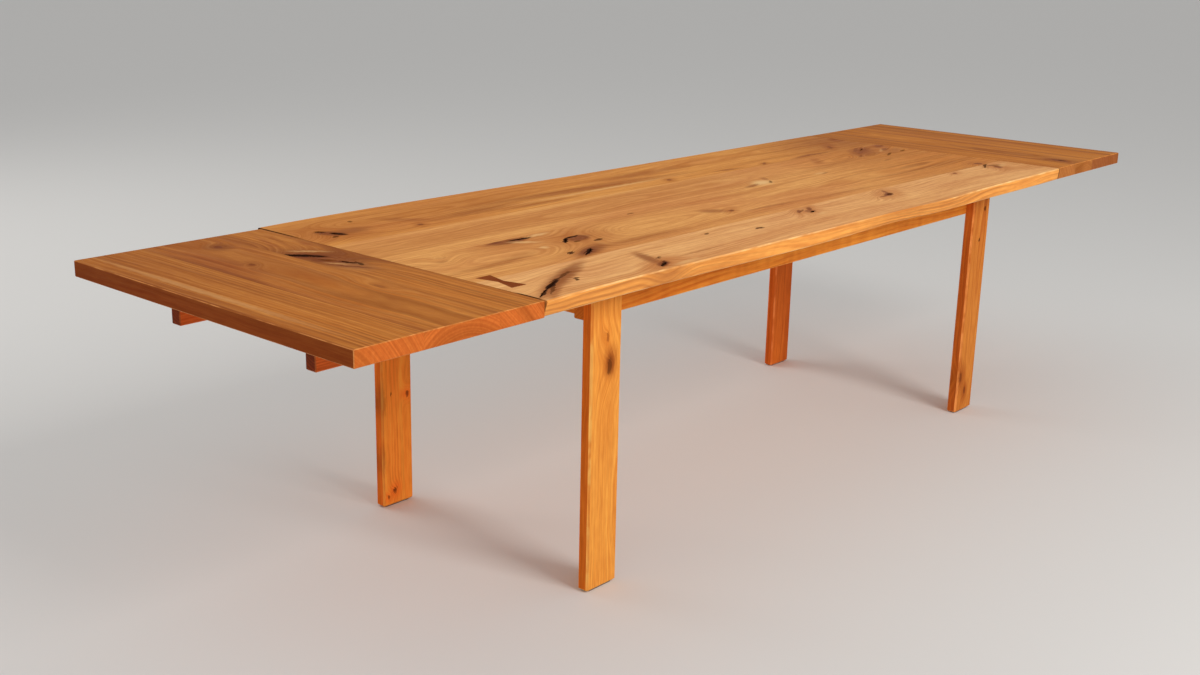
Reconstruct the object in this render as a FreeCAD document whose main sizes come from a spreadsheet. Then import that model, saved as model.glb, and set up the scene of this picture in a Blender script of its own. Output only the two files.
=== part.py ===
# Extending dining table in solid wood: a fixed top with natural long edges on a frame with plank legs,
# two loose end leaves, and four bearers that pull out of the frame to carry the leaves.
# Millimetres. +X runs along the table to the right, -Y is its front, +Z is up, and the origin lies
# on the floor under the middle. "Left" is the -X end. It is modelled fully extended.

import FreeCAD, Part
import os
import Sketcher

UP = FreeCAD.Vector(0, 0, 1)
LIE_OUTWARD = FreeCAD.Rotation(FreeCAD.Vector(1, 0, 0), 90)
LIE_ALONG = FreeCAD.Rotation(FreeCAD.Vector(0, 1, 0), 90)

doc = FreeCAD.newDocument("extending_dining_table")
dims = doc.addObject("Spreadsheet::Sheet", "dims")

# Driving dimensions

DRIVING_DIMENSIONS = (
    ("table_height", 750, "floor to table surface"),
    ("top_thickness", 35, "boards of the top and of the leaves"),
    ("top_length", 2330, "fixed top, without the leaves"),
    ("top_width", 964, "fixed top over the widest points of its natural edges"),
    ("edge_wander", 22, "how far a natural edge draws in from its widest line"),
    ("edge_lean", 18, "how far the foot of a natural edge is set in below its arris"),
    ("arris_chamfer", 3, "eased arrises along the natural edges"),
    ("front_glue_line", 267, "centre line to the glue line behind the front board"),
    ("middle_glue_line", 20, "centre line to the glue line in front of it"),
    ("back_glue_line", 196, "centre line to the glue line before the back board"),
    ("key_length", 108, "butterfly key, across the glue line"),
    ("key_end_width", 42, "butterfly key at its ends"),
    ("key_waist", 15, "butterfly key at its middle"),
    ("key_depth", 12, "butterfly key, let in flush"),
    ("key_inset", 45, "end of the top to the middle of the key"),
    ("key_tilt", -1, "turn of the key from square, in degrees"),
    ("key_offset", 26, "middle of the key in front of the glue line"),
    ("leaf_length", 475, "one leaf, along the table"),
    ("leaf_width", 920, "one leaf, across the table"),
    ("leaf_setback", 20, "front of a leaf behind the widest line of the top"),
    ("leaf_chamfer", 1.5, "outer edges of the leaves"),
    ("left_inner_board", 125, "left leaf, board next to the top"),
    ("left_middle_board", 190, "left leaf, middle board"),
    ("right_inner_board", 130, "right leaf, board next to the top"),
    ("right_middle_board", 129, "right leaf, middle board"),
    ("seam_gap", 0.5, "leaf to top in the middle of the seam"),
    ("seam_bow", 2.5, "more gap than that at the two ends of the seam"),
    ("dowel_diameter", 12, "locating dowels of the leaves"),
    ("dowel_bite", 30, "dowel inside the leaf, glued"),
    ("dowel_reach", 28, "dowel standing out of the leaf"),
    ("leg_width", 100, "plank leg, along the table"),
    ("leg_thickness", 31, "plank leg, across the table"),
    ("leg_housing", 4, "depth that the apron is let into the leg"),
    ("leg_chamfer", 5, "upright edges and foot of a leg"),
    ("leg_frame_length", 1832, "outside of the left legs to outside of the right legs"),
    ("leg_frame_width", 730, "outside of the front legs to outside of the back legs"),
    ("pad_length", 80, "felt pad"),
    ("pad_width", 20, "felt pad"),
    ("pad_height", 2.5, "felt pad"),
    ("pad_corner", 6, "corner radius of a felt pad"),
    ("apron_thickness", 32, "long aprons and end aprons"),
    ("apron_web", 16, "wood left under a bearer's notch"),
    ("apron_chamfer", 2, "lower outer edge of a long apron"),
    ("cross_rail_spacing", 910, "between the middles of the two cross rails"),
    ("cross_rail_thickness", 28, "cross rails"),
    ("tenon_length", 14, "stub tenons of end aprons and cross rails"),
    ("tenon_thickness", 12, "stub tenons"),
    ("tenon_shoulder", 10, "wood below a stub tenon, and half as much above it"),
    ("groove_width", 8, "groove for the top's buttons"),
    ("groove_depth", 9, "groove for the top's buttons"),
    ("groove_drop", 12, "top of the apron to the groove"),
    ("tongue_length", 7, "tongue of a button, in the groove"),
    ("bearer_width", 30, "bearers, stood on edge"),
    ("bearer_depth", 64, "bearers, stood on edge"),
    ("bearer_setback", 65, "end of a bearer inside the end of its leaf"),
    ("bearer_tail", 46, "bearer past the inner face of its cross rail"),
    ("bearer_margin", 36, "inside of a long apron to the nearest bearer"),
    ("bearer_pitch", 69, "left bearer to the right bearer that passes it, centre to centre"),
    ("bearer_chamfer", 2, "outer end and lower edges of a bearer"),
    ("peg_diameter", 12, "stop peg"),
    ("peg_reach", 14, "stop peg standing out of the bearer"),
    ("bolt_diameter", 8, "leg bolts"),
    ("bolt_bite", 16, "leg bolt inside its insert"),
    ("bolt_margin", 15, "face of the end apron to a leg bolt"),
    ("bolt_edge", 12, "leg bolt to the end of the long apron"),
    ("bolt_hole", 9, "bolt hole in the apron"),
    ("bolt_head", 13, "bolt head across its flats"),
    ("bolt_head_height", 5.5, "bolt head"),
    ("washer_diameter", 17, "washer under a bolt head"),
    ("washer_thickness", 1.6, "washer under a bolt head"),
    ("insert_diameter", 12, "threaded insert in a leg"),
    ("insert_length", 18, "threaded insert in a leg"),
    ("button_width", 36, "button, along the apron"),
    ("button_length", 28, "button, from the apron inwards"),
    ("button_spacing", 360, "between buttons along an apron"),
    ("button_margin", 10, "least gap between a button and a rail"),
    ("screw_diameter", 5, "button screw"),
    ("screw_bite", 20, "button screw inside the top"),
    ("screw_head", 9, "diameter of the button screw's head"),
    ("screw_head_height", 3, "button screw's head"),
    ("running_clearance", 0.4, "between faces that slide"),
    ("fitting_clearance", 0.1, "round pegs, tenons, inserts and screws"),
    ("plug_clearance", 0.3, "round a dowel in the top"),
)

for row, (alias, size, meaning) in enumerate(DRIVING_DIMENSIONS, start=1):
    dims.set("A%d" % row, meaning)
    dims.set("B%d" % row, str(size))
    dims.setAlias("B%d" % row, alias)
doc.recompute()

# Places worked out from the driving dimensions, as expressions

UNDERSIDE = "(dims.table_height - dims.top_thickness)"
HALF_TOP = "(dims.top_length / 2)"
HALF_WIDTH = "(dims.top_width / 2)"
APRON_HEIGHT = "(dims.bearer_depth + 2 * dims.running_clearance + dims.apron_web)"
APRON_BOTTOM = f"({UNDERSIDE} - {APRON_HEIGHT})"
APRON_FACE = "(dims.leg_frame_width / 2 - dims.leg_thickness + dims.leg_housing)"
APRON_INSIDE = f"({APRON_FACE} - dims.apron_thickness)"
LEG_LENGTH = f"({UNDERSIDE} - dims.pad_height)"
LEG_MIDDLE = "(dims.leg_frame_length / 2 - dims.leg_width / 2)"
BOLT_OFFSET = "(dims.apron_thickness / 2 + dims.bolt_margin)"
BOLT_HEIGHT = f"({APRON_HEIGHT} / 2)"
INSERT_HOLE = "(dims.insert_diameter + 2 * dims.fitting_clearance)"
BOLT_BORE = "(dims.bolt_diameter + 2 * dims.fitting_clearance)"
APRON_END = f"({LEG_MIDDLE} + {BOLT_OFFSET} + dims.bolt_edge)"
CROSS_RAIL_MIDDLE = "(dims.cross_rail_spacing / 2)"
CROSS_RAIL_INSIDE = f"({CROSS_RAIL_MIDDLE} - dims.cross_rail_thickness / 2)"
CROSS_RAIL_OUTSIDE = f"({CROSS_RAIL_MIDDLE} + dims.cross_rail_thickness / 2)"
END_APRON_INSIDE = f"({LEG_MIDDLE} - dims.apron_thickness / 2)"
GROOVE_BOTTOM = f"({APRON_HEIGHT} - dims.groove_drop - dims.groove_width)"
TENON_HEIGHT = f"({GROOVE_BOTTOM} - 1.5 * dims.tenon_shoulder)"
BEARER_END = f"({HALF_TOP} + dims.seam_gap + dims.leaf_length - dims.bearer_setback)"
BEARER_LENGTH = f"({BEARER_END} - {CROSS_RAIL_INSIDE} + dims.bearer_tail)"
BEARER_BOTTOM = f"({UNDERSIDE} - dims.running_clearance - dims.bearer_depth)"
OUTER_BEARER = f"({APRON_INSIDE} - dims.bearer_margin - dims.bearer_width / 2)"
INNER_BEARER = f"({OUTER_BEARER} - dims.bearer_pitch)"
PEG_PLACE = f"({BEARER_END} - {CROSS_RAIL_INSIDE} + dims.running_clearance + dims.peg_diameter / 2)"
LEAF_START = f"({HALF_TOP} + dims.seam_gap)"
LEAF_FRONT = f"(dims.leaf_setback - {HALF_WIDTH})"
DOWEL_LEVEL = f"({UNDERSIDE} + dims.top_thickness / 2)"
DOWEL_HOLE_DEPTH = "(dims.dowel_reach + dims.plug_clearance)"
GLUED_DOWEL_HOLE = "(dims.dowel_diameter + 2 * dims.fitting_clearance)"
FRONT_DOWEL = f"(-({HALF_WIDTH} + dims.front_glue_line) / 2)"
BACK_DOWEL = f"(({HALF_WIDTH} + dims.back_glue_line) / 2)"
BUTTON_BOTTOM = f"({APRON_BOTTOM} + {GROOVE_BOTTOM} + dims.running_clearance)"
BUTTON_HEIGHT = f"({UNDERSIDE} - {BUTTON_BOTTOM})"
BUTTON_SCREW = f"({APRON_INSIDE} - dims.button_length / 2)"
SCREW_HOLE = "(dims.screw_diameter + 2 * dims.fitting_clearance)"
FASTENER_FLATS = 16


def value(expression):
    """The number that an expression of the sheet's names gives now."""
    return float(dims.evalExpression(expression))


# Ways of making pieces

pieces = []


def keep(piece, label):
    """Counts a finished piece, under the name of its file."""
    piece.Label = label
    pieces.append(piece)
    return piece


def put(piece, x, y, z, turn=0, lie=FreeCAD.Rotation()):
    """Sets a piece down at x, y, z, or with a turn of 180 at the place half a turn round the table."""
    piece.Placement = FreeCAD.Placement(FreeCAD.Vector(), FreeCAD.Rotation(UP, turn).multiply(lie))
    sign = "-" if turn == 180 else ""
    piece.setExpression("Placement.Base.x", f"{sign}({x})")
    piece.setExpression("Placement.Base.y", f"{sign}({y})")
    piece.setExpression("Placement.Base.z", z)
    return piece


def new_sketch(body, name, plane, offset="0"):
    """An empty sketch on one of the body's own planes, or off it along the plane's normal."""
    sketch = body.newObject("Sketcher::SketchObject", name)
    support = [feature for feature in body.Origin.OriginFeatures if feature.Role == plane]
    sketch.AttachmentSupport = [(support[0], "")]
    sketch.MapMode = "FlatFace"
    sketch.setExpression("AttachmentOffset.Base.z", offset)
    return sketch


def bind_point(sketch, side, end, x, y):
    """Holds one end of a side at x, y."""
    for kind, place in (("DistanceX", x), ("DistanceY", y)):
        index = sketch.addConstraint(Sketcher.Constraint(kind, -1, 1, side, end, value(place)))
        sketch.setExpression("Constraints[%d]" % index, place)


def add_outline(sketch, corners):
    """A closed outline of straight sides, with every corner bound to the sheet."""
    first = sketch.GeometryCount
    spots = [FreeCAD.Vector(value(x), value(y), 0) for x, y in corners]
    for start, end in zip(spots, spots[1:] + spots[:1]):
        sketch.addGeometry(Part.LineSegment(start, end), False)
    for number in range(len(corners)):
        following = first + (number + 1) % len(corners)
        sketch.addConstraint(Sketcher.Constraint("Coincident", first + number, 2, following, 1))
    for number, (x, y) in enumerate(corners):
        bind_point(sketch, first + number, 1, x, y)
    return sketch


def add_rectangle(sketch, left, low, right, high):
    """A rectangle between two opposite corners."""
    return add_outline(sketch, [(left, low), (right, low), (right, high), (left, high)])


def add_circle(sketch, x, y, diameter):
    """A circle with its centre and diameter bound to the sheet."""
    middle = FreeCAD.Vector(value(x), value(y), 0)
    index = sketch.addGeometry(Part.Circle(middle, UP, value(diameter) / 2), False)
    bind_point(sketch, index, 3, x, y)
    size = sketch.addConstraint(Sketcher.Constraint("Diameter", index, value(diameter)))
    sketch.setExpression("Constraints[%d]" % size, diameter)
    return sketch


def add_fastener_hole(sketch, x, y, diameter):
    """A hole for a small fastener: as many flats as the fastener has, with every corner bound."""
    radius = f"({diameter}) / 2"
    angles = [number * 360 / FASTENER_FLATS for number in range(FASTENER_FLATS)]
    return add_outline(sketch, [
        (f"{x} + {radius} * cos({angle} deg)", f"{y} + {radius} * sin({angle} deg)") for angle in angles])


def pad(body, sketch, length, centred=False):
    """Raises a sketch by a length, along its normal or half to each side."""
    feature = body.newObject("PartDesign::Pad", sketch.Name + "_pad")
    feature.Profile = sketch
    feature.SideType = "Symmetric" if centred else "One side"
    feature.setExpression("Length", length)
    doc.recompute()
    return feature


def cut(body, sketch, depth=None):
    """Cuts a sketch along its normal to a depth, or right through, and makes sure that wood went."""
    before = body.Shape.Volume
    feature = body.newObject("PartDesign::Pocket", sketch.Name + "_pocket")
    feature.Profile = sketch
    if depth is None:
        feature.SideType = "Symmetric"
        feature.Type = "ThroughAll"
    else:
        feature.Reversed = True
        feature.setExpression("Length", depth)
    doc.recompute()
    if not body.Shape.Volume < before:
        raise RuntimeError("nothing was cut by " + sketch.Name)
    return feature


def ease(body, size, chosen):
    """Takes the corner off those edges of the body that a test of their boxes picks."""
    base = body.Tip
    edges = enumerate(base.Shape.Edges, start=1)
    feature = body.newObject("PartDesign::Chamfer", body.Name + "_chamfer")
    feature.Base = (base, ["Edge%d" % number for number, edge in edges if chosen(edge.BoundBox)])
    feature.setExpression("Size", size)
    doc.recompute()
    return feature


SAME_PLACE = 0.01


def same(number, other):
    """True where two measured places are one."""
    return abs(number - other) < SAME_PLACE


def bar(name, diameter, height):
    """A round bar standing on the floor."""
    piece = doc.addObject("Part::Cylinder", name)
    piece.setExpression("Radius", f"({diameter}) / 2")
    piece.setExpression("Height", height)
    return piece


def fastener_bar(name, diameter, height, low="0", flats=FASTENER_FLATS):
    """A bar of fastener stock standing on a level, with a number of flats."""
    piece = doc.addObject("Part::Prism", name)
    piece.Polygon = flats
    piece.setExpression("Circumradius", f"({diameter}) / 2")
    piece.setExpression("Height", height)
    return put(piece, "0", "0", low)


def boolean(kind, name, base, tool):
    """One shape from two, by Part::Cut or Part::Fuse."""
    result = doc.addObject(kind, name)
    result.Base = base
    result.Tool = tool
    return result


def group(name, pattern, places):
    """Like solids together: copies of a pattern, each put down at a place."""
    copies = []
    for place in places:
        copy = doc.addObject("App::Link", name + "_copy")
        copy.LinkedObject = pattern
        copy.LinkTransform = False
        copies.append(put(copy, *place))
    together = doc.addObject("Part::Compound", name)
    together.Links = copies
    return together


# Top boards
# A natural edge is traced by three numbers at each place along the top, counted from its left end:
# the place, the share of the wander and the share of the lean that the edge has there.

FRONT_EDGE = (
    (0, 0.64, 0.65),
    (0.1, 1, 0.28),
    (0.22, 0.79, 0.45),
    (0.4, 0.6, 0.08),
    (0.5, 0.42, 0.55),
    (0.58, 0.27, 1),
    (0.66, 0, 0.7),
    (0.76, 0.45, 0.22),
    (0.88, 0.6, 0.05),
    (1, 0.64, 0.25),
)
BACK_EDGE = (
    (0, 0.41, 0.4),
    (0.12, 0, 0.65),
    (0.24, 0.2, 0.35),
    (0.36, 0.5, 0.75),
    (0.5, 0.82, 0.5),
    (0.64, 0.9, 0.25),
    (0.82, 0.88, 0.6),
    (1, 0.91, 0.4),
)
FRONT_SIDE = -1
BACK_SIDE = 1


def natural_line(side, trace, level, leaning, eased):
    """The line of a natural edge at a level: leaning is 1 at its foot and 0 at its arris."""
    spots = []
    for place, wander, lean in trace:
        inset = wander * value("dims.edge_wander") + leaning * lean * value("dims.edge_lean") + eased
        along = (place - 0.5) * value("dims.top_length")
        spots.append(FreeCAD.Vector(along, side * (value(HALF_WIDTH) - inset), level))
    line = Part.BSplineCurve()
    line.interpolate(spots)
    return line


def natural_board(name, side, trace, glue_line):
    """A board sawn straight on its glue line and left natural on its outer edge, arrises eased."""
    low = value(UNDERSIDE)
    high = value("dims.table_height")
    arris = value("dims.arris_chamfer")
    slope = arris / (high - low)
    outlines = []
    for level, leaning, eased in (
            (low, 1, arris), (low + arris, 1 - slope, 0), (high - arris, slope, 0), (high, 0, arris)):
        line = natural_line(side, trace, level, leaning, eased)
        left = FreeCAD.Vector(line.StartPoint.x, value(glue_line), level)
        right = FreeCAD.Vector(line.EndPoint.x, value(glue_line), level)
        straight_sides = Part.makePolygon([line.EndPoint, right, left, line.StartPoint])
        outlines.append(Part.Wire([line.toShape()] + straight_sides.Edges))
    board = doc.addObject("Part::Feature", name)
    board.Shape = Part.makeLoft(outlines, True, True).removeSplitter()
    return board


def straight_board(name, front, back):
    """A board between two glue lines."""
    board = doc.addObject("Part::Box", name)
    board.setExpression("Length", "dims.top_length")
    board.setExpression("Width", f"{back} - ({front})")
    board.setExpression("Height", "dims.top_thickness")
    return put(board, f"-{HALF_TOP}", front, UNDERSIDE)


def butterfly(name, clearance):
    """A butterfly key across the front glue line, or with a clearance the recess that it lies in."""
    half_length = f"(dims.key_length / 2 + {clearance})"
    half_end = f"(dims.key_end_width / 2 + {clearance})"
    half_waist = f"(dims.key_waist / 2 + {clearance})"
    corners = [
        (f"-{half_end}", f"-{half_length}"),
        (half_end, f"-{half_length}"),
        (half_waist, "0"),
        (half_end, half_length),
        (f"-{half_end}", half_length),
        (f"-{half_waist}", "0"),
    ]
    body = doc.addObject("PartDesign::Body", name)
    pad(body, add_outline(new_sketch(body, name + "_outline", "XY_Plane"), corners), "dims.key_depth")
    tilt = FreeCAD.Rotation(UP, value("dims.key_tilt"))
    across = "-(dims.front_glue_line + dims.key_offset)"
    level = "dims.table_height - dims.key_depth"
    return put(body, f"dims.key_inset - {HALF_TOP}", across, level, lie=tilt)


def bay_places(start, end):
    """The places of the buttons in a bay between two rails: as many as fit, about its middle."""
    room = value(f"{end} - ({start}) - dims.button_width - 2 * dims.button_margin")
    steps = int(room // value("dims.button_spacing"))
    middle = f"({start} + {end}) / 2"
    return [f"{middle} + ({number - steps / 2}) * dims.button_spacing" for number in range(steps + 1)]


def along_aprons(across, level):
    """The places of the buttons along both long aprons, at a distance from the middle and a level."""
    bays = (
        (f"-{END_APRON_INSIDE}", f"-{CROSS_RAIL_OUTSIDE}"),
        (f"-{CROSS_RAIL_INSIDE}", CROSS_RAIL_INSIDE),
        (CROSS_RAIL_OUTSIDE, END_APRON_INSIDE),
    )
    return [
        (along, f"-{across}", level, turn)
        for turn in (0, 180) for start, end in bays for along in bay_places(start, end)]


dowel_hole = bar("dowel_hole", "dims.dowel_diameter + 2 * dims.plug_clearance", f"2 * {DOWEL_HOLE_DEPTH}")
dowel_holes = group("dowel_holes", dowel_hole, [
    (f"{end} - {DOWEL_HOLE_DEPTH}", across, DOWEL_LEVEL, 0, LIE_ALONG)
    for end in (f"-{HALF_TOP}", HALF_TOP) for across in (FRONT_DOWEL, BACK_DOWEL)])
screw_hole = fastener_bar("screw_hole", SCREW_HOLE, "dims.screw_bite + dims.fitting_clearance")
screw_holes = group("screw_holes", screw_hole, along_aprons(BUTTON_SCREW, UNDERSIDE))
key_recess = butterfly("key_recess", "dims.fitting_clearance")
borings = doc.addObject("Part::Compound", "borings")
borings.Links = [dowel_holes, screw_holes, key_recess]

top_blanks = {
    "top_front_board": natural_board("front_blank", FRONT_SIDE, FRONT_EDGE, "-dims.front_glue_line"),
    "top_second_board": straight_board("second_blank", "-dims.front_glue_line", "-dims.middle_glue_line"),
    "top_third_board": straight_board("third_blank", "-dims.middle_glue_line", "dims.back_glue_line"),
    "top_back_board": natural_board("back_blank", BACK_SIDE, BACK_EDGE, "dims.back_glue_line"),
}
for label, blank in top_blanks.items():
    keep(boolean("Part::Cut", label, blank, borings), label)
keep(butterfly("butterfly_key", "0"), "butterfly_key")


# Long aprons, grooved inside for the buttons and mortised for the end aprons and cross rails

def long_apron(label, turn):
    """The front apron, or turned about the back one."""
    body = doc.addObject("PartDesign::Body", label)
    plan = add_rectangle(
        new_sketch(body, label + "_plan", "XY_Plane"), f"-{APRON_END}", "0",
        APRON_END, "dims.apron_thickness")
    pad(body, plan, APRON_HEIGHT)
    ease(body, "dims.apron_chamfer", lambda box: same(box.ZMax, 0) and box.XLength > box.YLength)
    groove = add_rectangle(
        new_sketch(body, label + "_groove", "YZ_Plane"),
        "dims.apron_thickness - dims.groove_depth", GROOVE_BOTTOM,
        "dims.apron_thickness + dims.groove_depth", f"{GROOVE_BOTTOM} + dims.groove_width")
    cut(body, groove)
    mortises = new_sketch(body, label + "_mortises", "XZ_Plane", "-dims.apron_thickness")
    half_mortise = "(dims.tenon_thickness / 2 + dims.fitting_clearance)"
    for middle in (f"-{LEG_MIDDLE}", f"-{CROSS_RAIL_MIDDLE}", CROSS_RAIL_MIDDLE, LEG_MIDDLE):
        add_rectangle(
            mortises, f"{middle} - {half_mortise}", "dims.tenon_shoulder - dims.fitting_clearance",
            f"{middle} + {half_mortise}", f"dims.tenon_shoulder + {TENON_HEIGHT} + dims.fitting_clearance")
    cut(body, mortises, "dims.tenon_length + dims.fitting_clearance")
    holes = new_sketch(body, label + "_bolt_holes", "XZ_Plane")
    for middle in (f"-{LEG_MIDDLE}", LEG_MIDDLE):
        for offset in (f"-{BOLT_OFFSET}", f"+{BOLT_OFFSET}"):
            add_fastener_hole(holes, f"{middle} {offset}", BOLT_HEIGHT, "dims.bolt_hole")
    cut(body, holes)
    put(body, "0", f"-{APRON_FACE}", APRON_BOTTOM, turn)
    return keep(body, label)


long_apron("front_apron", 0)
long_apron("back_apron", 180)


# End aprons and cross rails: boards across the frame with stub tenons, notched for the two bearers

def notched_rail(label, thickness, middle, turn):
    """A rail across the left half of the frame, or turned about across the right half."""
    body = doc.addObject("PartDesign::Body", label)
    face = add_rectangle(
        new_sketch(body, label + "_face", "YZ_Plane"), f"-{APRON_INSIDE}", "0", APRON_INSIDE, APRON_HEIGHT)
    pad(body, face, thickness, centred=True)
    tenons = add_rectangle(
        new_sketch(body, label + "_tenons", "XZ_Plane"), "-dims.tenon_thickness / 2", "dims.tenon_shoulder",
        "dims.tenon_thickness / 2", f"dims.tenon_shoulder + {TENON_HEIGHT}")
    pad(body, tenons, f"2 * ({APRON_INSIDE} + dims.tenon_length)", centred=True)
    notches = new_sketch(body, label + "_notches", "YZ_Plane")
    half_notch = "(dims.bearer_width / 2 + dims.running_clearance)"
    for across in (f"-{OUTER_BEARER}", INNER_BEARER):
        add_rectangle(
            notches, f"{across} - {half_notch}", "dims.apron_web",
            f"{across} + {half_notch}", f"{APRON_HEIGHT} + dims.apron_web")
    cut(body, notches)
    put(body, f"-{middle}", "0", APRON_BOTTOM, turn)
    return keep(body, label)


for side, turn in (("left", 0), ("right", 180)):
    notched_rail(side + "_end_apron", "dims.apron_thickness", LEG_MIDDLE, turn)
    notched_rail(side + "_cross_rail", "dims.cross_rail_thickness", CROSS_RAIL_MIDDLE, turn)


# Legs: planks housed over the aprons, with blind holes for the threaded inserts, on felt pads

def leg(label, middle, turn):
    """A front leg, or turned about a back one."""
    body = doc.addObject("PartDesign::Body", label)
    plan = add_rectangle(
        new_sketch(body, label + "_plan", "XY_Plane"), "-dims.leg_width / 2", "0",
        "dims.leg_width / 2", "dims.leg_thickness")
    pad(body, plan, LEG_LENGTH)
    ease(body, "dims.leg_chamfer", lambda box: same(box.ZMax, 0) or box.ZLength > box.DiagonalLength / 2)
    shoulder = f"({LEG_LENGTH} - {APRON_HEIGHT})"
    housing = add_rectangle(
        new_sketch(body, label + "_housing", "YZ_Plane"), "dims.leg_thickness - dims.leg_housing", shoulder,
        "dims.leg_thickness + dims.leg_housing", f"{LEG_LENGTH} + dims.leg_housing")
    cut(body, housing)
    holes = new_sketch(body, label + "_insert_holes", "XZ_Plane", "dims.leg_housing - dims.leg_thickness")
    for offset in (f"-{BOLT_OFFSET}", BOLT_OFFSET):
        add_fastener_hole(holes, offset, f"{shoulder} + {BOLT_HEIGHT}", INSERT_HOLE)
    cut(body, holes, "dims.insert_length + dims.fitting_clearance")
    put(body, middle, "-dims.leg_frame_width / 2", "dims.pad_height", turn)
    return keep(body, label)


def felt_pad(label, middle, turn):
    """A flat pad with rounded corners under the middle of a leg."""
    body = doc.addObject("PartDesign::Body", label)
    plan = add_rectangle(
        new_sketch(body, label + "_plan", "XY_Plane"), "-dims.pad_length / 2", "-dims.pad_width / 2",
        "dims.pad_length / 2", "dims.pad_width / 2")
    block = pad(body, plan, "dims.pad_height")
    uprights = [
        "Edge%d" % number for number, edge in enumerate(block.Shape.Edges, start=1)
        if edge.BoundBox.ZLength > edge.BoundBox.DiagonalLength / 2]
    rounding = body.newObject("PartDesign::Fillet", label + "_corners")
    rounding.Base = (block, uprights)
    rounding.setExpression("Radius", "dims.pad_corner")
    put(body, middle, "(dims.leg_thickness - dims.leg_frame_width) / 2", "0", turn)
    return keep(body, label)


CORNERS = (
    ("front_left", f"-{LEG_MIDDLE}", 0),
    ("front_right", LEG_MIDDLE, 0),
    ("back_right", f"-{LEG_MIDDLE}", 180),
    ("back_left", LEG_MIDDLE, 180),
)
for corner, middle, turn in CORNERS:
    leg(corner + "_leg", middle, turn)
    felt_pad(corner + "_felt_pad", middle, turn)


# Bolts from inside the aprons, with washers, into threaded inserts in the legs

bolt_places = [
    (f"{middle} {offset}", f"-{APRON_INSIDE}", f"{APRON_BOTTOM} + {BOLT_HEIGHT}", turn, LIE_OUTWARD)
    for corner, middle, turn in CORNERS for offset in (f"-{BOLT_OFFSET}", f"+{BOLT_OFFSET}")]
bolt_hexagon = fastener_bar(
    "bolt_hexagon", "2 * dims.bolt_head / sqrt(3)", "dims.bolt_head_height",
    "-dims.washer_thickness - dims.bolt_head_height", flats=6)
bolt_shank = fastener_bar(
    "bolt_shank", "dims.bolt_diameter", "dims.washer_thickness + dims.apron_thickness + dims.bolt_bite",
    "-dims.washer_thickness")
bolt = boolean("Part::Fuse", "bolt", bolt_hexagon, bolt_shank)
keep(group("leg_bolts", bolt, bolt_places), "leg_bolts")

washer_level = "-dims.washer_thickness"
washer_disc = fastener_bar("washer_disc", "dims.washer_diameter", "dims.washer_thickness", washer_level)
washer_bore = fastener_bar("washer_bore", BOLT_BORE, "dims.washer_thickness", washer_level)
washer = boolean("Part::Cut", "washer", washer_disc, washer_bore)
keep(group("leg_washers", washer, bolt_places), "leg_washers")

insert_level = "dims.apron_thickness"
insert_body = fastener_bar("insert_body", "dims.insert_diameter", "dims.insert_length", insert_level)
insert_bore = fastener_bar("insert_bore", BOLT_BORE, "dims.insert_length", insert_level)
insert = boolean("Part::Cut", "insert", insert_body, insert_bore)
keep(group("leg_inserts", insert, bolt_places), "leg_inserts")


# Buttons, tongued into the aprons' grooves, and the screws that hold them up to the top

button = doc.addObject("PartDesign::Body", "button")
tongue_height = "(dims.groove_width - 2 * dims.running_clearance)"
button_profile = add_outline(new_sketch(button, "button_profile", "YZ_Plane"), [
    ("-dims.tongue_length", "0"),
    ("dims.button_length", "0"),
    ("dims.button_length", BUTTON_HEIGHT),
    ("dims.running_clearance", BUTTON_HEIGHT),
    ("dims.running_clearance", tongue_height),
    ("-dims.tongue_length", tongue_height),
])
pad(button, button_profile, "dims.button_width", centred=True)
button_bore = new_sketch(button, "button_bore", "XY_Plane")
cut(button, add_fastener_hole(button_bore, "0", "dims.button_length / 2", SCREW_HOLE))
keep(group("top_buttons", button, along_aprons(APRON_INSIDE, BUTTON_BOTTOM)), "top_buttons")

screw_head = fastener_bar(
    "screw_head", "dims.screw_head", "dims.screw_head_height", "-dims.screw_head_height")
screw_shank = fastener_bar("screw_shank", "dims.screw_diameter", f"{BUTTON_HEIGHT} + dims.screw_bite")
screw = boolean("Part::Fuse", "screw", screw_head, screw_shank)
keep(group("button_screws", screw, along_aprons(BUTTON_SCREW, BUTTON_BOTTOM)), "button_screws")


# Bearers: bars on edge that run through the notches, each with a stop peg behind its cross rail

def bearer(label, across, turn):
    """A bearer drawn right out, eased at its outer end and along its lower edges."""
    body = doc.addObject("PartDesign::Body", label)
    section = add_rectangle(
        new_sketch(body, label + "_section", "YZ_Plane"), "-dims.bearer_width / 2", "0",
        "dims.bearer_width / 2", "dims.bearer_depth")
    pad(body, section, BEARER_LENGTH)
    ease(body, "dims.bearer_chamfer", lambda box: (
        same(box.XMax, 0) or (same(box.ZMax, 0) and same(box.YLength, 0))))
    hole = add_circle(
        new_sketch(body, label + "_peg_hole", "XZ_Plane"), PEG_PLACE, "dims.bearer_depth / 2",
        "dims.peg_diameter + 2 * dims.fitting_clearance")
    cut(body, hole)
    put(body, f"-{BEARER_END}", across, BEARER_BOTTOM, turn)
    return keep(body, label)


def stop_peg(label, across, turn):
    """A peg through the bearer's tail that meets the inner face of the cross rail."""
    peg = bar(label, "dims.peg_diameter", "dims.bearer_width + dims.peg_reach")
    put(peg, f"{PEG_PLACE} - {BEARER_END}", f"{across} + dims.bearer_width / 2 + dims.peg_reach",
        f"{BEARER_BOTTOM} + dims.bearer_depth / 2", turn, LIE_OUTWARD)
    return keep(peg, label)


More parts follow.
